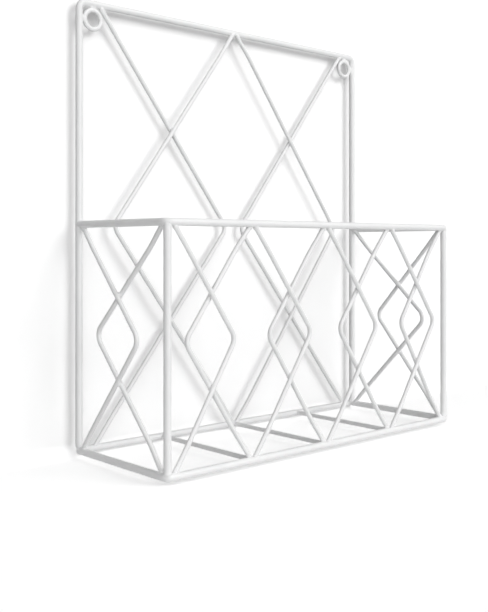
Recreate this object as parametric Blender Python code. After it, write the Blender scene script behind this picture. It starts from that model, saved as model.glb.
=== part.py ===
"""Wall magazine rack: a wire basket welded to a tall wire back panel.

Metres, +Z up, +Y towards the wall, +X to the right as seen from the front.
The origin is in the middle of the footprint, on the plane that the rack stands on.
Every piece is bent from round wire, and neighbours meet at weld points.
"""
import math

import bpy
from mathutils import Matrix, Vector

# Overall sizes, measured between wire centre lines
BACK_WIDTH = 0.344
BACK_HEIGHT = 0.376
BASKET_DEPTH = 0.122
BASKET_HEIGHT = 0.189

# Wire thicknesses
FRAME_WIRE = 0.006
LATTICE_WIRE = 0.004
FLOOR_WIRE = 0.004
RING_WIRE = 0.004

# Bends, measured on the wire's centre line
FRAME_BEND_RADIUS = 0.006
RIM_BEND_RADIUS = 0.004
LATTICE_BEND_RADIUS = 0.010

# Hanging rings in the upper corners of the back panel
RING_OUTER_DIAMETER = 0.020

# Front lattice: columns of two crossing wires, how far inside its column each wire ends, and how far
# past mid column its arms meet
FRONT_COLUMNS = 4
FRONT_END_INSET = 0.0017
FRONT_BEND_REACH = 0.0238

# Side lattices: the right one is the left one turned round. Their middles lie this far from the
# basket's, the left one towards the wall, and each wire's arms meet past the middle
SIDE_LATTICE_SHIFT = 0.0068
SIDE_BEND_REACH = 0.033

# The basket's lattice bends sit this far above half height
BASKET_BEND_RISE = 0.004

# Back lattice: two columns of two crossing wires
BACK_FOOT_INSET = 0.015
BACK_BEND_TO_MIDDLE = 0.0085
BACK_BEND_TO_POST = 0.032

# The lattices lie this far inside the outer face of their frame
LATTICE_RECESS = 0.0003

# Clearance left at every weld point
WELD_GAP = 0.0003

# Mesh fineness
FRAME_BEVEL_RESOLUTION = 4
FRAME_SIDES = 2 * FRAME_BEVEL_RESOLUTION + 4
THIN_BEVEL_RESOLUTION = 2
CORNER_STEPS = 6
BEND_STEPS = 7
RING_STEPS = 28
LANDING_STEPS = 48

# Derived sizes
FRAME_RADIUS = FRAME_WIRE / 2
LATTICE_RADIUS = LATTICE_WIRE / 2
RING_RADIUS = RING_OUTER_DIAMETER / 2
HALF_WIDTH = BACK_WIDTH / 2
HALF_DEPTH = BASKET_DEPTH / 2
COLUMN_WIDTH = BACK_WIDTH / FRONT_COLUMNS
BASKET_BEND_HEIGHT = BASKET_HEIGHT / 2 + BASKET_BEND_RISE

# A frame wire's flats face along X, Y and Z, and the bottom flats lie on the ground plane
FLAT_TURN = math.pi / FRAME_SIDES
GROUND_TO_AXIS = FRAME_RADIUS * math.cos(FLAT_TURN)

# Two frame wires that butt on each other keep this distance between axis and end
BUTT_REACH = FRAME_RADIUS + WELD_GAP

# A rim's bent corner runs this far inside the sharp corner, and the front post stands there
POST_SHIFT = RIM_BEND_RADIUS * (1 - math.sqrt(0.5))

# The wires of a lattice lie in two layers, given as depths inwards from the frame's middle
OUTER_LAYER = LATTICE_RADIUS + LATTICE_RECESS - FRAME_RADIUS
INNER_LAYER = OUTER_LAYER + LATTICE_WIRE + WELD_GAP

# Lattice ends clear the post beside them, and those at the back's mid width clear each other
POST_INSET = FRAME_RADIUS + LATTICE_RADIUS + WELD_GAP
MIDDLE_INSET = LATTICE_RADIUS + WELD_GAP / 2

# The rings touch the back post and the top rail
RING_INSET = FRAME_RADIUS + WELD_GAP + RING_RADIUS

UP = Vector((0, 0, 1))
TO_WALL = Vector((0, 1, 0))
TO_FRONT = Vector((0, -1, 0))
TO_RIGHT = Vector((1, 0, 0))
TO_LEFT = Vector((-1, 0, 0))


def clear_scene():
    """Remove every object that the file holds."""
    for item in list(bpy.data.objects):
        bpy.data.objects.remove(item, do_unlink=True)


def new_collection(name):
    """Add a collection to the scene."""
    collection = bpy.data.collections.new(name)
    bpy.context.scene.collection.children.link(collection)
    return collection


def white_paint(name):
    """Satin white powder coat."""
    material = bpy.data.materials.new(name)
    material.use_nodes = True
    shader = material.node_tree.nodes["Principled BSDF"]
    shader.inputs["Base Color"].default_value = (0.86, 0.86, 0.865, 1)
    shader.inputs["Roughness"].default_value = 0.42
    shader.inputs["Metallic"].default_value = 0.0
    return material


def wire(name, points, diameter, resolution, turn=0.0, closed=False):
    """A round wire along the points, with flat cut ends unless it is a closed loop."""
    middle = sum(points, Vector()) / len(points)
    curve = bpy.data.curves.new(name, "CURVE")
    curve.dimensions = "3D"
    curve.bevel_depth = diameter / 2
    curve.bevel_resolution = resolution
    curve.use_fill_caps = not closed
    spline = curve.splines.new("POLY")
    spline.points.add(len(points) - 1)
    for target, place in zip(spline.points, points):
        target.co = (*(place - middle), 1)
        target.tilt = turn
    spline.use_cyclic_u = closed
    spline.use_smooth = True
    curve.materials.append(white_paint(name + "_paint"))
    item = bpy.data.objects.new(name, curve)
    item.location = middle
    item.parent = RACK
    PARTS.objects.link(item)


def frame_wire(name, points, closed=False):
    """A thick wire whose flats face along the axes."""
    wire(name, points, FRAME_WIRE, FRAME_BEVEL_RESOLUTION, FLAT_TURN, closed)


def fillet(corner, first, last, radius, steps):
    """Points of the arc that rounds a corner, from the side of one neighbour to the other's."""
    to_first = (first - corner).normalized()
    to_last = (last - corner).normalized()
    half_angle = to_first.angle(to_last) / 2
    inward = (to_first + to_last).normalized()
    across = (to_last - to_first).normalized()
    centre = corner + inward * (radius / math.sin(half_angle))
    sweep = math.pi - 2 * half_angle
    arc = []
    for step in range(steps + 1):
        angle = sweep * (step / steps - 0.5)
        arc.append(centre - inward * radius * math.cos(angle) + across * radius * math.sin(angle))
    return arc


class Panel:
    """A flat side of the rack, with places given along it, up it and inwards from it."""

    def __init__(self, origin, along, inward):
        self.origin = origin
        self.along = along
        self.inward = inward

    def at(self, distance, height, depth=0.0):
        return self.origin + self.along * distance + UP * height + self.inward * depth


def back_frame(panel):
    """The tall rectangle at the back, with bent corners."""
    corners = [panel.at(0, 0), panel.at(BACK_WIDTH, 0)]
    corners += [panel.at(BACK_WIDTH, BACK_HEIGHT), panel.at(0, BACK_HEIGHT)]
    points = []
    for index, corner in enumerate(corners):
        before = corners[index - 1]
        after = corners[(index + 1) % len(corners)]
        points += fillet(corner, before, after, FRAME_BEND_RADIUS, CORNER_STEPS)
    frame_wire("back_frame", points, closed=True)


def basket_rim(name, panel, height):
    """A rail bent round the left, front and right of the basket, butted on the back posts."""
    back = BASKET_DEPTH - BUTT_REACH
    left_end = panel.at(0, height, back)
    left_corner = panel.at(0, height)
    right_corner = panel.at(BACK_WIDTH, height)
    right_end = panel.at(BACK_WIDTH, height, back)
    left_bend = fillet(left_corner, left_end, right_corner, RIM_BEND_RADIUS, CORNER_STEPS)
    right_bend = fillet(right_corner, left_corner, right_end, RIM_BEND_RADIUS, CORNER_STEPS)
    frame_wire(name, [left_end, *left_bend, *right_bend, right_end])


def front_posts(panel):
    """Upright wires between the two rims, under the rims' bent corners."""
    places = {"left": POST_SHIFT, "right": BACK_WIDTH - POST_SHIFT}
    for side, along in places.items():
        foot = panel.at(along, BUTT_REACH, POST_SHIFT)
        head = panel.at(along, BASKET_HEIGHT - BUTT_REACH, POST_SHIFT)
        frame_wire(f"front_{side}_post", [foot, head])


def landing(depth, slant):
    """How far from a rail's axis the cut end of a slanted lattice wire stops."""
    stop = 0.0
    for step in range(LANDING_STEPS):
        angle = 2 * math.pi * step / LANDING_STEPS
        across = depth + LATTICE_RADIUS * math.cos(angle)
        if abs(across) < BUTT_REACH:
            rail = math.sqrt(BUTT_REACH ** 2 - across ** 2)
            stop = max(stop, rail + LATTICE_RADIUS * math.sin(slant) * math.sin(angle))
    return stop


def lattice_wire(name, panel, top, meet, bottom, height, bend_height, depth):
    """A wire bent near mid height, with its ends butted on the rails above and below.

    The places along the panel are those of the two ends and of the point where the lines of
    the two arms meet.
    """
    top_slant = math.atan2(abs(meet - top), height - bend_height)
    bottom_slant = math.atan2(abs(meet - bottom), bend_height)
    head = panel.at(top, height - landing(depth, top_slant), depth)
    foot = panel.at(bottom, landing(depth, bottom_slant), depth)
    corner = panel.at(meet, bend_height, depth)
    bend = fillet(corner, head, foot, LATTICE_BEND_RADIUS, BEND_STEPS)
    wire(name, [head, *bend, foot], LATTICE_WIRE, THIN_BEVEL_RESOLUTION)


def front_lattice(panel):
    """Two crossing wires in each column of the front; the left one is the outer."""
    for column in range(FRONT_COLUMNS):
        start = column * COLUMN_WIDTH
        stop = start + COLUMN_WIDTH
        centre = (start + stop) / 2
        left = start + (POST_SHIFT + POST_INSET if column == 0 else FRONT_END_INSET)
        right = stop - (POST_SHIFT + POST_INSET if column == FRONT_COLUMNS - 1 else FRONT_END_INSET)
        name = f"front_wire_{column + 1}"
        lattice_wire(name + "_left", panel, left, centre + FRONT_BEND_REACH, left,
                     BASKET_HEIGHT, BASKET_BEND_HEIGHT, OUTER_LAYER)
        lattice_wire(name + "_right", panel, right, centre - FRONT_BEND_REACH, right,
                     BASKET_HEIGHT, BASKET_BEND_HEIGHT, INNER_LAYER)


def side_lattice(side, panel, centre, rear_layer, front_layer):
    """Two crossing wires in one side of the basket."""
    rear = POST_INSET
    front = BASKET_DEPTH - POST_SHIFT - POST_INSET
    lattice_wire(f"{side}_wire_rear", panel, rear, centre + SIDE_BEND_REACH, rear,
                 BASKET_HEIGHT, BASKET_BEND_HEIGHT, rear_layer)
    lattice_wire(f"{side}_wire_front", panel, front, centre - SIDE_BEND_REACH, front,
                 BASKET_HEIGHT, BASKET_BEND_HEIGHT, front_layer)


def place_beside_ring(meet, bend_height, depth):
    """Where a wire that comes up from the meeting place and touches the ring ends on the top rail."""
    bend = Vector((meet, bend_height))
    to_ring = Vector((RING_INSET, BACK_HEIGHT - RING_INSET)) - bend
    clearance = RING_RADIUS + WELD_GAP + LATTICE_RADIUS
    turn = math.asin(clearance / to_ring.length)
    direction = Matrix.Rotation(-turn, 2) @ to_ring.normalized()
    slant = math.atan2(abs(direction.x), direction.y)
    rise = BACK_HEIGHT - landing(depth, slant) - bend_height
    return meet + direction.x / direction.y * rise


def back_lattice(side, panel):
    """Two tall crossing wires in one half of the back; the one from the outer corner is behind."""
    bend_height = BACK_HEIGHT / 2
    meet = HALF_WIDTH - BACK_BEND_TO_MIDDLE
    top = place_beside_ring(meet, bend_height, OUTER_LAYER)
    middle = HALF_WIDTH - MIDDLE_INSET
    lattice_wire(f"back_wire_{side}_outer", panel, top, meet, BACK_FOOT_INSET,
                 BACK_HEIGHT, bend_height, OUTER_LAYER)
    lattice_wire(f"back_wire_{side}_inner", panel, middle, BACK_BEND_TO_POST, middle,
                 BACK_HEIGHT, bend_height, INNER_LAYER)


def floor_wires(panel):
    """Straight wires across the floor, butted between the lower rim and the back frame."""
    for station in range(1, FRONT_COLUMNS):
        along = station * COLUMN_WIDTH
        ends = [panel.at(along, 0, BUTT_REACH), panel.at(along, 0, BASKET_DEPTH - BUTT_REACH)]
        wire(f"floor_wire_{station}", ends, FLOOR_WIRE, THIN_BEVEL_RESOLUTION)


def hanging_ring(side, panel):
    """A closed wire ring welded into an upper corner of the back frame."""
    centre = panel.at(RING_INSET, BACK_HEIGHT - RING_INSET)
    bend_radius = RING_RADIUS - RING_WIRE / 2
    points = []
    for step in range(RING_STEPS):
        angle = 2 * math.pi * step / RING_STEPS
        spoke = panel.along * math.cos(angle) + UP * math.sin(angle)
        points.append(centre + spoke * bend_radius)
    wire(f"hanging_ring_{side}", points, RING_WIRE, THIN_BEVEL_RESOLUTION, closed=True)


def build():
    """Make every piece of the rack."""
    axis = UP * GROUND_TO_AXIS
    back_left = Panel(TO_LEFT * HALF_WIDTH + TO_WALL * HALF_DEPTH + axis, TO_RIGHT, TO_FRONT)
    back_right = Panel(TO_RIGHT * HALF_WIDTH + TO_WALL * HALF_DEPTH + axis, TO_LEFT, TO_FRONT)
    front = Panel(TO_LEFT * HALF_WIDTH + TO_FRONT * HALF_DEPTH + axis, TO_RIGHT, TO_WALL)
    left = Panel(back_left.origin, TO_FRONT, TO_RIGHT)
    right = Panel(back_right.origin, TO_FRONT, TO_LEFT)

    back_frame(back_left)
    basket_rim("upper_rim", front, BASKET_HEIGHT)
    basket_rim("lower_rim", front, 0)
    front_posts(front)
    front_lattice(front)
    side_lattice("left", left, HALF_DEPTH - SIDE_LATTICE_SHIFT, OUTER_LAYER, INNER_LAYER)
    side_lattice("right", right, HALF_DEPTH + SIDE_LATTICE_SHIFT, INNER_LAYER, OUTER_LAYER)
    for side, panel in (("left", back_left), ("right", back_right)):
        back_lattice(side, panel)
        hanging_ring(side, panel)
    floor_wires(front)


clear_scene()
PARTS = new_collection("wall_magazine_rack")
RACK = bpy.data.objects.new("rack", None)
PARTS.objects.link(RACK)
build()
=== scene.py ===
import math

import bmesh
import bpy
from mathutils import Matrix, Vector, noise


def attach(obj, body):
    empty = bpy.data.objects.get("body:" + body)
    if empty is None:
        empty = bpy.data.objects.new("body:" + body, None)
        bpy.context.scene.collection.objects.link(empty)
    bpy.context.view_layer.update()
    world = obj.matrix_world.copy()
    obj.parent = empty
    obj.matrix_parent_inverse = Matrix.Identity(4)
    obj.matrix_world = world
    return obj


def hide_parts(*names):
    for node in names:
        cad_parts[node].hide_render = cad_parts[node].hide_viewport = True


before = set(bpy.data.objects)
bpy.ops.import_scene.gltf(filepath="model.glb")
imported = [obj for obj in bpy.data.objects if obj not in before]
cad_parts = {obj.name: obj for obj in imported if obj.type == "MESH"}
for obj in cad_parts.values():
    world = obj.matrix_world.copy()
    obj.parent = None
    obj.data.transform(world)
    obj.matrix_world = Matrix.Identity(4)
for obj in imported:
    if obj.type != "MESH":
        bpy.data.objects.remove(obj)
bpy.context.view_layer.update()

# Sizes of the rack in metres, between wire centre lines
WIDTH = 0.344
HEIGHT = 0.376
DEPTH = 0.122
BASKET_HEIGHT = 0.189
GROUND = 0.002898
FRAME_RADIUS = 0.003
THIN_RADIUS = 0.002
FRAME_BEND = 0.006
RIM_BEND = 0.004
LATTICE_BEND = 0.010
POST_SHIFT = RIM_BEND * (1 - math.sqrt(0.5))
POST_INSET = 0.0053
FRONT_END_INSET = 0.0017
MIDDLE_INSET = 0.00215
COLUMNS = 4
COLUMN_WIDTH = WIDTH / COLUMNS
FRONT_REACH = 0.0238
SIDE_REACH = 0.033
SIDE_SHIFT = 0.0068
BASKET_BEND_HEIGHT = BASKET_HEIGHT / 2 + 0.004
BACK_FOOT_INSET = 0.015
BACK_TO_MIDDLE = 0.0085
BACK_TO_POST = 0.032
RING_RADIUS = 0.010
RING_INSET = 0.0133

# The two lattice layers press into each other where they cross, and their wires
# ease towards the rail's middle at the ends
OUTER_LAYER = -0.00045
INNER_LAYER = 0.00325
END_LAYERS = {OUTER_LAYER: 0.0003, INNER_LAYER: 0.0014}
EASE_LENGTH = 0.030

# Welded ends run into the rail, and flare where they enter it. Lattice wires
# enter at a slant, so more of their length is inside.
BURIED = 0.0018
BURIED_AT_SLANT = BURIED * 1.3
FLARE = 0.0005
FLARE_LENGTH = 0.0011

# Half sizes of the weld beads along the panel, into it and up, and their lumps
CROSSING_BEAD = (0.0021, 0.0019, 0.0021)
RING_SIDE_BEAD = (0.0014, 0.0019, 0.0034)
RING_TOP_BEAD = (0.0034, 0.0019, 0.0014)
BEAD_FINENESS = 3
LUMP_HEIGHT = 0.10
LUMP_SCALE = 1.7
LUMP_SHIFT = 400

# Fineness of the wires: round them, in their bends and along them
FRAME_SIDES = 28
THIN_SIDES = 20
FRAME_BEND_STEPS = 14
LATTICE_BEND_STEPS = 12
RING_STEPS = 56
FRAME_STEP = 0.012
LATTICE_STEP = 0.008
END_STEP = 0.0004
END_LENGTH = 0.006
END_ROUNDING = 0.0006
END_ROUNDING_STEPS = 4

# Powder coat
DRIFT_SCALE, DRIFT_DETAIL = 38, 3
TONES = ((0.3, (0.862, 0.865, 0.869, 1)), (0.7, (0.895, 0.896, 0.895, 1)))
GLOSSIEST, DULLEST = 0.36, 0.50
PEEL_SCALE, PEEL_DETAIL = 620, 2
PEEL_STRENGTH, PEEL_HEIGHT = 0.16, 0.0003
SPECULAR_LEVEL = 0.35

# Stage
FLOOR_LEVEL = -0.0036
WALL_PLACE = 0.0688
COVE_RADIUS = 0.012
COVE_STEPS = 16
STAGE_REACH = 6.0
FLOOR_BOUNCE, WALL_BOUNCE = 0.6, 0.06
FLOOR_GLOW, WALL_GLOW = 0.42, 0.145
WHITE = (1, 1, 1, 1)

# Lamps: strength, spread in degrees, and the way the light travels
KEY = (1.5, 36, (-0.50, 1.0, -0.52))
FILL = (1.26, 60, (0.72, 0.66, -0.33))
TOP = (0.22, 120, (0.1, 0.2, -1.0))
BEHIND = (2.2, 30, (-0.45, -0.89, 0.0225))
UNDER = (0.8, 40, (0.0, 0.0, 1.0))
SURROUND_LIGHT = 0.28

# Camera fitted to the photograph: pixels, millimetres for the sensor, metres
PHOTO_HEIGHT = 612
OPTICAL_AXIS_ROW = 244
FOCAL_PIXELS = 896.8
SENSOR_WIDTH = 36
CAMERA_PLACE = (-0.57065, -0.58956, 0.17374)
CAMERA_LOOK = (0.66811, 0.74406, 0.00248)
CLIP_START = 0.01

UP = Vector((0, 0, 1))
TO_WALL = Vector((0, 1, 0))
TO_RIGHT = Vector((1, 0, 0))


# Paint


def socket_link(tree, source, output, target, target_input):
    tree.links.new(source.outputs[output], target.inputs[target_input])


def noise_texture(tree, place, scale, detail):
    texture = tree.nodes.new("ShaderNodeTexNoise")
    texture.inputs["Scale"].default_value = scale
    texture.inputs["Detail"].default_value = detail
    socket_link(tree, place, "Object", texture, "Vector")
    return texture


def powder_coat():
    """Satin white powder coat: orange peel, and a slight drift in tone and gloss."""
    material = bpy.data.materials.new("white_powder_coat")
    material.use_nodes = True
    tree = material.node_tree
    shader = tree.nodes["Principled BSDF"]
    place = tree.nodes.new("ShaderNodeTexCoord")

    drift = noise_texture(tree, place, DRIFT_SCALE, DRIFT_DETAIL)
    tone = tree.nodes.new("ShaderNodeValToRGB")
    for element, (position, colour) in zip(tone.color_ramp.elements, TONES):
        element.position = position
        element.color = colour
    socket_link(tree, drift, "Fac", tone, "Fac")
    socket_link(tree, tone, "Color", shader, "Base Color")

    gloss = tree.nodes.new("ShaderNodeMapRange")
    gloss.inputs["To Min"].default_value = GLOSSIEST
    gloss.inputs["To Max"].default_value = DULLEST
    socket_link(tree, drift, "Fac", gloss, "Value")
    socket_link(tree, gloss, "Result", shader, "Roughness")

    peel = noise_texture(tree, place, PEEL_SCALE, PEEL_DETAIL)
    bump = tree.nodes.new("ShaderNodeBump")
    bump.inputs["Strength"].default_value = PEEL_STRENGTH
    bump.inputs["Distance"].default_value = PEEL_HEIGHT
    socket_link(tree, peel, "Fac", bump, "Height")
    socket_link(tree, bump, "Normal", shader, "Normal")

    shader.inputs["Metallic"].default_value = 0.0
    shader.inputs["Specular IOR Level"].default_value = SPECULAR_LEVEL
    return material


PAINT = powder_coat()


# Meshes


def add_piece(name, mesh, *nodes):
    """Put a painted mesh in the scene as a piece of the rack that stands for the nodes."""
    for face in mesh.polygons:
        face.use_smooth = True
    mesh.materials.append(PAINT)
    piece = bpy.data.objects.new(name, mesh)
    bpy.context.scene.collection.objects.link(piece)
    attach(piece, "root")
    if nodes:
        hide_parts(*nodes)


def along(points, closed):
    """Unit tangents of a polyline."""
    count = len(points)
    tangents = []
    for index in range(count):
        if closed:
            before, after = points[index - 1], points[(index + 1) % count]
        else:
            before, after = points[max(index - 1, 0)], points[min(index + 1, count - 1)]
        tangents.append((after - before).normalized())
    return tangents


def tube(name, points, radii, sides, closed=False):
    """A round tube along the points, with a radius at each, and domed ends unless it is closed."""
    if not closed:
        points, radii = domed(points, radii)
    tangents = along(points, closed)
    side = tangents[0].orthogonal().normalized()
    verts = []
    for place, tangent, radius in zip(points, tangents, radii):
        side = (side - tangent * side.dot(tangent)).normalized()
        other = tangent.cross(side)
        for step in range(sides):
            angle = 2 * math.pi * step / sides
            verts.append(place + (side * math.cos(angle) + other * math.sin(angle)) * radius)
    rings = len(points)
    faces = []
    for ring in range(rings if closed else rings - 1):
        following = (ring + 1) % rings
        for step in range(sides):
            turn = (step + 1) % sides
            faces.append((ring * sides + step, ring * sides + turn,
                          following * sides + turn, following * sides + step))
    if not closed:
        faces.append(tuple(reversed(range(sides))))
        faces.append(tuple((rings - 1) * sides + step for step in range(sides)))
    mesh = bpy.data.meshes.new(name)
    mesh.from_pydata([tuple(vert) for vert in verts], [], faces)
    mesh.validate()
    return mesh


def domed(points, radii):
    """Add rings that round off both ends of a wire."""
    first, last = points[0], points[-1]
    out_first = (points[0] - points[1]).normalized()
    out_last = (points[-1] - points[-2]).normalized()
    head, head_radii, tail, tail_radii = [], [], [], []
    for step in range(1, END_ROUNDING_STEPS + 1):
        angle = step / END_ROUNDING_STEPS * math.pi / 2
        shrink = END_ROUNDING * (1 - math.cos(angle))
        head.insert(0, first + out_first * END_ROUNDING * math.sin(angle))
        head_radii.insert(0, radii[0] - shrink)
        tail.append(last + out_last * END_ROUNDING * math.sin(angle))
        tail_radii.append(radii[-1] - shrink)
    return [*head, *points, *tail], [*head_radii, *radii, *tail_radii]


def fillet(corner, first, last, radius, steps):
    """Points of the arc that rounds a corner, from the side of one neighbour to the other's."""
    to_first = (first - corner).normalized()
    to_last = (last - corner).normalized()
    half_angle = to_first.angle(to_last) / 2
    inward = (to_first + to_last).normalized()
    across = (to_last - to_first).normalized()
    centre = corner + inward * (radius / math.sin(half_angle))
    sweep = math.pi - 2 * half_angle
    arc = []
    for step in range(steps + 1):
        angle = sweep * (step / steps - 0.5)
        arc.append(centre - inward * radius * math.cos(angle) + across * radius * math.sin(angle))
    return arc


def fine(points, longest=FRAME_STEP, end_step=END_STEP):
    """Split a path into short runs, with the shortest near its two ends."""
    total = sum((b - a).length for a, b in zip(points, points[1:]))
    result = [points[0]]
    walked = 0.0
    for a, b in zip(points, points[1:]):
        length = (b - a).length
        done = 0.0
        while True:
            from_end = min(walked + done, total - walked - done)
            step = end_step if from_end < END_LENGTH else longest
            if done + step > length - end_step / 2:
                break
            done += step
            result.append(a + (b - a) * (done / length))
        result.append(b)
        walked += length
    return result


def welded_radii(points, radius, buried):
    """A wire's radius at each point, swelling where its buried ends enter the rails."""
    reach = [0.0]
    for a, b in zip(points, points[1:]):
        reach.append(reach[-1] + (b - a).length)
    radii = []
    for place in reach:
        swell = math.exp(-abs(place - buried) / FLARE_LENGTH)
        swell += math.exp(-abs(reach[-1] - place - buried) / FLARE_LENGTH)
        radii.append(radius + FLARE * swell)
    return radii


class Panel:
    """A flat side of the rack, with places given along it, up it and inwards from it."""

    def __init__(self, origin, direction, inward):
        self.origin = origin
        self.direction = direction
        self.inward = inward

    def at(self, distance, height, depth=0.0):
        return self.origin + self.direction * distance + UP * height + self.inward * depth


BASE = UP * GROUND
BACK_LEFT = Panel(TO_RIGHT * (-WIDTH / 2) + TO_WALL * (DEPTH / 2) + BASE, TO_RIGHT, -TO_WALL)
BACK_RIGHT = Panel(TO_RIGHT * (WIDTH / 2) + TO_WALL * (DEPTH / 2) + BASE, -TO_RIGHT, -TO_WALL)
FRONT = Panel(TO_RIGHT * (-WIDTH / 2) - TO_WALL * (DEPTH / 2) + BASE, TO_RIGHT, TO_WALL)
LEFT = Panel(BACK_LEFT.origin, -TO_WALL, TO_RIGHT)
RIGHT = Panel(BACK_RIGHT.origin, -TO_WALL, -TO_RIGHT)


# Frames


def straight_wire(node, first, last, radius, sides):
    """A wire between two frame wires' axes, buried in both and flared where it enters them."""
    direction = (last - first).normalized()
    start = first + direction * (FRAME_RADIUS - BURIED)
    end = last - direction * (FRAME_RADIUS - BURIED)
    points = fine([start, end])
    radii = welded_radii(points, radius, BURIED)
    add_piece(node + "_coat", tube(node + "_coat", points, radii, sides), node)


def back_frame():
    places = ((0, 0), (WIDTH, 0), (WIDTH, HEIGHT), (0, HEIGHT))
    corners = [BACK_LEFT.at(*place) for place in places]
    points = []
    for index, corner in enumerate(corners):
        before, after = corners[index - 1], corners[(index + 1) % len(corners)]
        points += fillet(corner, before, after, FRAME_BEND, FRAME_BEND_STEPS)
    path = []
    for index, place in enumerate(points):
        following = points[(index + 1) % len(points)]
        path += fine([place, following], end_step=FRAME_STEP)[:-1]
    mesh = tube("back_frame_coat", path, [FRAME_RADIUS] * len(path), FRAME_SIDES, closed=True)
    add_piece("back_frame_coat", mesh, "back_frame")


def basket_rim(node, height):
    """A rail round both sides and the front, with its flares kept above the ground."""
    back = DEPTH - FRAME_RADIUS + BURIED
    ends = [FRONT.at(0, height, back), FRONT.at(WIDTH, height, back)]
    corners = [FRONT.at(0, height), FRONT.at(WIDTH, height)]
    left = fillet(corners[0], ends[0], corners[1], RIM_BEND, FRAME_BEND_STEPS)
    right = fillet(corners[1], corners[0], ends[1], RIM_BEND, FRAME_BEND_STEPS)
    points = fine([ends[0], *left, *right, ends[1]])
    radii = welded_radii(points, FRAME_RADIUS, BURIED)
    mesh = tube(node + "_coat", points, radii, FRAME_SIDES)
    for vert in mesh.vertices:
        vert.co.z = max(vert.co.z, 0.0)
    add_piece(node + "_coat", mesh, node)


def front_posts():
    for side, place in (("left", POST_SHIFT), ("right", WIDTH - POST_SHIFT)):
        foot = FRONT.at(place, 0, POST_SHIFT)
        head = FRONT.at(place, BASKET_HEIGHT, POST_SHIFT)
        straight_wire(f"front_{side}_post", foot, head, FRAME_RADIUS, FRAME_SIDES)


def floor_wires():
    for station in range(1, COLUMNS):
        place = station * COLUMN_WIDTH
        straight_wire(f"floor_wire_{station}", FRONT.at(place, 0), FRONT.at(place, 0, DEPTH),
                      THIN_RADIUS, THIN_SIDES)


# Lattices


def eased_depth(layer, from_end):
    """Depth of a lattice wire at a distance from its nearer end."""
    share = min(from_end / EASE_LENGTH, 1.0)
    end_layer = END_LAYERS[layer]
    return end_layer + (layer - end_layer) * share * share * (3 - 2 * share)


def lattice_wire(node, panel, top, meet, bottom, height, bend_height, layer):
    """A wire bent near mid height, with its ends buried in the rails above and below."""
    sink = FRAME_RADIUS - BURIED
    head = Vector((top, height - sink, 0))
    foot = Vector((bottom, sink, 0))
    corner = Vector((meet, bend_height, 0))
    bend = fillet(corner, head, foot, LATTICE_BEND, LATTICE_BEND_STEPS)
    flat = fine([head, *bend, foot], longest=LATTICE_STEP)
    total = sum((b - a).length for a, b in zip(flat, flat[1:]))
    points = []
    walked = 0.0
    for index, place in enumerate(flat):
        if index:
            walked += (place - flat[index - 1]).length
        depth = eased_depth(layer, min(walked, total - walked))
        points.append(panel.at(place.x, place.y, depth))
    radii = welded_radii(points, THIN_RADIUS, BURIED_AT_SLANT)
    add_piece(node + "_coat", tube(node + "_coat", points, radii, THIN_SIDES), node)


def crossing(first, second, bend_height, rail_height):
    """Where two bent wires cross, from their end and meeting places along the panel."""
    first_slope = (first[1] - first[0]) / (rail_height - bend_height)
    second_slope = (second[1] - second[0]) / (rail_height - bend_height)
    drop = (second[0] - first[0]) / (first_slope - second_slope)
    return first[0] + first_slope * drop, rail_height - drop


WELDS = {"front": [], "sides": [], "back": []}


def cross_welds(group, panel, first, second, bend_height, height):
    """Note a pair's two crossings as welds. A wire is its top, meeting and bottom place."""
    middle = (OUTER_LAYER + INNER_LAYER) / 2
    for end, rail in ((0, height), (2, 0.0)):
        place, level = crossing((first[end], first[1]), (second[end], second[1]),
                                bend_height, rail)
        WELDS[group].append((panel.at(place, level, middle), panel))


def lattice_pair(group, names, panel, outer, inner, bend_height, height):
    for node, wire, layer in zip(names, (outer, inner), (OUTER_LAYER, INNER_LAYER)):
        lattice_wire(node, panel, *wire, height, bend_height, layer)
    cross_welds(group, panel, outer, inner, bend_height, height)


def front_lattice():
    for column in range(COLUMNS):
        start = column * COLUMN_WIDTH
        stop = start + COLUMN_WIDTH
        centre = (start + stop) / 2
        left = start + (POST_SHIFT + POST_INSET if column == 0 else FRONT_END_INSET)
        right = stop - (POST_SHIFT + POST_INSET if column == COLUMNS - 1 else FRONT_END_INSET)
        names = (f"front_wire_{column + 1}_left", f"front_wire_{column + 1}_right")
        lattice_pair("front", names, FRONT, (left, centre + FRONT_REACH, left),
                     (right, centre - FRONT_REACH, right), BASKET_BEND_HEIGHT, BASKET_HEIGHT)


def side_lattices():
    """The right side is the left one turned round, so its front wire is the outer one."""
    rear = POST_INSET
    front = DEPTH - POST_SHIFT - POST_INSET
    middle = DEPTH / 2 - SIDE_SHIFT
    lattice_pair("sides", ("left_wire_rear", "left_wire_front"), LEFT,
                 (rear, middle + SIDE_REACH, rear), (front, middle - SIDE_REACH, front),
                 BASKET_BEND_HEIGHT, BASKET_HEIGHT)
    middle = DEPTH / 2 + SIDE_SHIFT
    lattice_pair("sides", ("right_wire_front", "right_wire_rear"), RIGHT,
                 (front, middle - SIDE_REACH, front), (rear, middle + SIDE_REACH, rear),
                 BASKET_BEND_HEIGHT, BASKET_HEIGHT)


def place_beside_ring(meet, bend_height):
    """Where the wire that touches the ring ends on the top rail."""
    to_ring = Vector((RING_INSET - meet, HEIGHT - RING_INSET - bend_height))
    turn = math.asin((RING_RADIUS + THIN_RADIUS) / to_ring.length)
    direction = Matrix.Rotation(-turn, 2) @ to_ring
    return meet + direction.x / direction.y * (HEIGHT - FRAME_RADIUS - bend_height)


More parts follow.
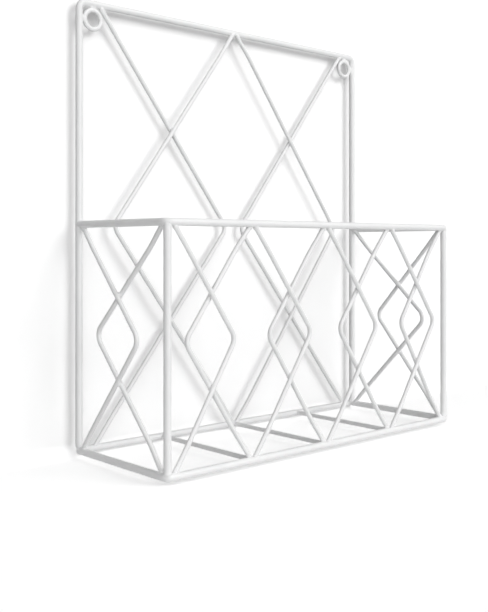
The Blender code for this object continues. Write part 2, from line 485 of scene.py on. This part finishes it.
def back_lattices():
    bend_height = HEIGHT / 2
    meet = WIDTH / 2 - BACK_TO_MIDDLE
    top = place_beside_ring(meet, bend_height)
    middle = WIDTH / 2 - MIDDLE_INSET
    for side, panel in (("left", BACK_LEFT), ("right", BACK_RIGHT)):
        lattice_pair("back", (f"back_wire_{side}_outer", f"back_wire_{side}_inner"), panel,
                     (top, meet, BACK_FOOT_INSET), (middle, BACK_TO_POST, middle),
                     bend_height, HEIGHT)


# Rings and welds


def hanging_rings():
    bend = RING_RADIUS - THIN_RADIUS
    for side, panel in (("left", BACK_LEFT), ("right", BACK_RIGHT)):
        points = []
        for step in range(RING_STEPS):
            angle = 2 * math.pi * step / RING_STEPS
            points.append(panel.at(RING_INSET + bend * math.cos(angle),
                                   HEIGHT - RING_INSET + bend * math.sin(angle)))
        name = f"hanging_ring_{side}_coat"
        mesh = tube(name, points, [THIN_RADIUS] * len(points), THIN_SIDES, closed=True)
        add_piece(name, mesh, f"hanging_ring_{side}")


def bead(shape, centre, axes, sizes):
    """Add a lumpy weld bead to a mesh in the making."""
    made = bmesh.ops.create_icosphere(shape, subdivisions=BEAD_FINENESS, radius=1.0)
    for vert in made["verts"]:
        lump = noise.noise(vert.co * LUMP_SCALE + centre * LUMP_SHIFT)
        local = vert.co * (1 + LUMP_HEIGHT * lump)
        steps = (axis * local[i] * sizes[i] for i, axis in enumerate(axes))
        vert.co = centre + sum(steps, Vector())


def weld_piece(name, beads):
    shape = bmesh.new()
    for centre, axes, sizes in beads:
        bead(shape, centre, axes, sizes)
    mesh = bpy.data.meshes.new(name)
    shape.to_mesh(mesh)
    shape.free()
    add_piece(name, mesh)


def welds():
    """Beads where wires cross and where the rings meet the back frame."""
    for group, places in WELDS.items():
        beads = []
        for centre, panel in places:
            beads.append((centre, (panel.direction, panel.inward, UP), CROSSING_BEAD))
        weld_piece(f"{group}_crossing_welds", beads)
    beads = []
    touch = (FRAME_RADIUS + RING_INSET - RING_RADIUS) / 2
    for panel in (BACK_LEFT, BACK_RIGHT):
        axes = (panel.direction, panel.inward, UP)
        beads.append((panel.at(touch, HEIGHT - RING_INSET), axes, RING_SIDE_BEAD))
        beads.append((panel.at(RING_INSET, HEIGHT - touch), axes, RING_TOP_BEAD))
    weld_piece("ring_welds", beads)


back_frame()
basket_rim("upper_rim", BASKET_HEIGHT)
basket_rim("lower_rim", 0.0)
front_posts()
floor_wires()
front_lattice()
side_lattices()
back_lattices()
hanging_rings()
welds()


# Studio


def looking_rays(tree):
    """A node that is 1 for rays that show the background, straight, mirrored or through glass."""
    rays = tree.nodes.new("ShaderNodeLightPath")
    indirect = tree.nodes.new("ShaderNodeMath")
    indirect.operation = "MAXIMUM"
    socket_link(tree, rays, "Is Glossy Ray", indirect, 0)
    socket_link(tree, rays, "Is Transmission Ray", indirect, 1)
    looking = tree.nodes.new("ShaderNodeMath")
    looking.operation = "MAXIMUM"
    socket_link(tree, rays, "Is Camera Ray", looking, 0)
    socket_link(tree, indirect, 0, looking, 1)
    return looking


def stage_paint():
    """White that keeps shadows, lifts the floor to the wall's white, and is clear from behind."""
    material = bpy.data.materials.new("stage_white")
    material.use_nodes = True
    tree = material.node_tree
    tree.nodes.clear()
    output = tree.nodes.new("ShaderNodeOutputMaterial")
    geometry = tree.nodes.new("ShaderNodeNewGeometry")
    place = tree.nodes.new("ShaderNodeSeparateXYZ")
    socket_link(tree, geometry, "Position", place, 0)

    def from_floor_to_wall(floor_value, wall_value):
        node = tree.nodes.new("ShaderNodeMapRange")
        node.inputs["From Min"].default_value = FLOOR_LEVEL
        node.inputs["From Max"].default_value = FLOOR_LEVEL + COVE_RADIUS
        node.inputs["To Min"].default_value = floor_value
        node.inputs["To Max"].default_value = wall_value
        socket_link(tree, place, "Z", node, "Value")
        return node

    bounce = tree.nodes.new("ShaderNodeBsdfDiffuse")
    bounce_share = from_floor_to_wall(FLOOR_BOUNCE, WALL_BOUNCE)
    socket_link(tree, bounce_share, "Result", bounce, "Color")
    white = tree.nodes.new("ShaderNodeBsdfDiffuse")
    white.inputs["Color"].default_value = WHITE
    glow = tree.nodes.new("ShaderNodeEmission")
    socket_link(tree, from_floor_to_wall(FLOOR_GLOW, WALL_GLOW), "Result", glow, "Strength")
    shown = tree.nodes.new("ShaderNodeAddShader")
    socket_link(tree, white, 0, shown, 0)
    socket_link(tree, glow, 0, shown, 1)

    front = tree.nodes.new("ShaderNodeMixShader")
    socket_link(tree, looking_rays(tree), 0, front, 0)
    socket_link(tree, bounce, 0, front, 1)
    socket_link(tree, shown, 0, front, 2)
    clear = tree.nodes.new("ShaderNodeBsdfTransparent")
    one_way = tree.nodes.new("ShaderNodeMixShader")
    socket_link(tree, geometry, "Backfacing", one_way, 0)
    socket_link(tree, front, 0, one_way, 1)
    socket_link(tree, clear, 0, one_way, 2)
    socket_link(tree, one_way, 0, output, "Surface")
    return material


def backdrop():
    """A floor that turns up into the wall through a small cove."""
    outline = [(-STAGE_REACH, FLOOR_LEVEL)]
    for step in range(COVE_STEPS + 1):
        angle = math.pi / 2 * step / COVE_STEPS
        outline.append((WALL_PLACE - COVE_RADIUS * (1 - math.sin(angle)),
                        FLOOR_LEVEL + COVE_RADIUS * (1 - math.cos(angle))))
    outline.append((WALL_PLACE, STAGE_REACH))
    verts = [(x, y, z) for y, z in outline for x in (-STAGE_REACH, STAGE_REACH)]
    faces = []
    for row in range(len(outline) - 1):
        faces.append((2 * row, 2 * row + 1, 2 * row + 3, 2 * row + 2))
    mesh = bpy.data.meshes.new("backdrop")
    mesh.from_pydata(verts, [], faces)
    for face in mesh.polygons:
        face.use_smooth = True
    mesh.materials.append(stage_paint())
    sweep = bpy.data.objects.new("backdrop", mesh)
    bpy.context.scene.collection.objects.link(sweep)


def lamp(name, energy, spread, direction):
    """A lamp as wide as the given angle, seen from everywhere in the same direction."""
    light = bpy.data.lights.new(name, "SUN")
    light.energy = energy
    light.angle = math.radians(spread)
    item = bpy.data.objects.new(name, light)
    item.rotation_euler = Vector(direction).to_track_quat("-Z", "Y").to_euler()
    bpy.context.scene.collection.objects.link(item)
    return item


def background(tree, strength):
    node = tree.nodes.new("ShaderNodeBackground")
    node.inputs["Color"].default_value = WHITE
    node.inputs["Strength"].default_value = strength
    return node


def studio_light():
    """Lamps in front on both sides and above, two that reach through the stage, and a surround."""
    lamp("key", *KEY)
    lamp("fill", *FILL)
    lamp("top", *TOP)
    for item in (lamp("behind", *BEHIND), lamp("under", *UNDER)):
        item.data.use_shadow = False
        item.visible_glossy = False
        item.data.cycles.max_bounces = 0

    world = bpy.data.worlds.new("surround")
    bpy.context.scene.world = world
    world.use_nodes = True
    tree = world.node_tree
    tree.nodes.clear()
    output = tree.nodes.new("ShaderNodeOutputWorld")
    even = background(tree, SURROUND_LIGHT)
    white = background(tree, 1.0)
    mix = tree.nodes.new("ShaderNodeMixShader")
    socket_link(tree, looking_rays(tree), 0, mix, 0)
    socket_link(tree, even, 0, mix, 1)
    socket_link(tree, white, 0, mix, 2)
    socket_link(tree, mix, 0, output, "Surface")


def photo_camera():
    """The photograph's view. The picture's optical axis lies above the middle of the frame."""
    data = bpy.data.cameras.new("camera")
    data.sensor_width = SENSOR_WIDTH
    data.lens = FOCAL_PIXELS * SENSOR_WIDTH / PHOTO_HEIGHT
    data.shift_y = (OPTICAL_AXIS_ROW - PHOTO_HEIGHT / 2) / PHOTO_HEIGHT
    data.clip_start = CLIP_START
    camera = bpy.data.objects.new("camera", data)
    camera.location = CAMERA_PLACE
    camera.rotation_euler = Vector(CAMERA_LOOK).to_track_quat("-Z", "Y").to_euler()
    bpy.context.scene.collection.objects.link(camera)
    bpy.context.scene.camera = camera


backdrop()
studio_light()
photo_camera()
bpy.context.scene.view_settings.view_transform = "Standard"
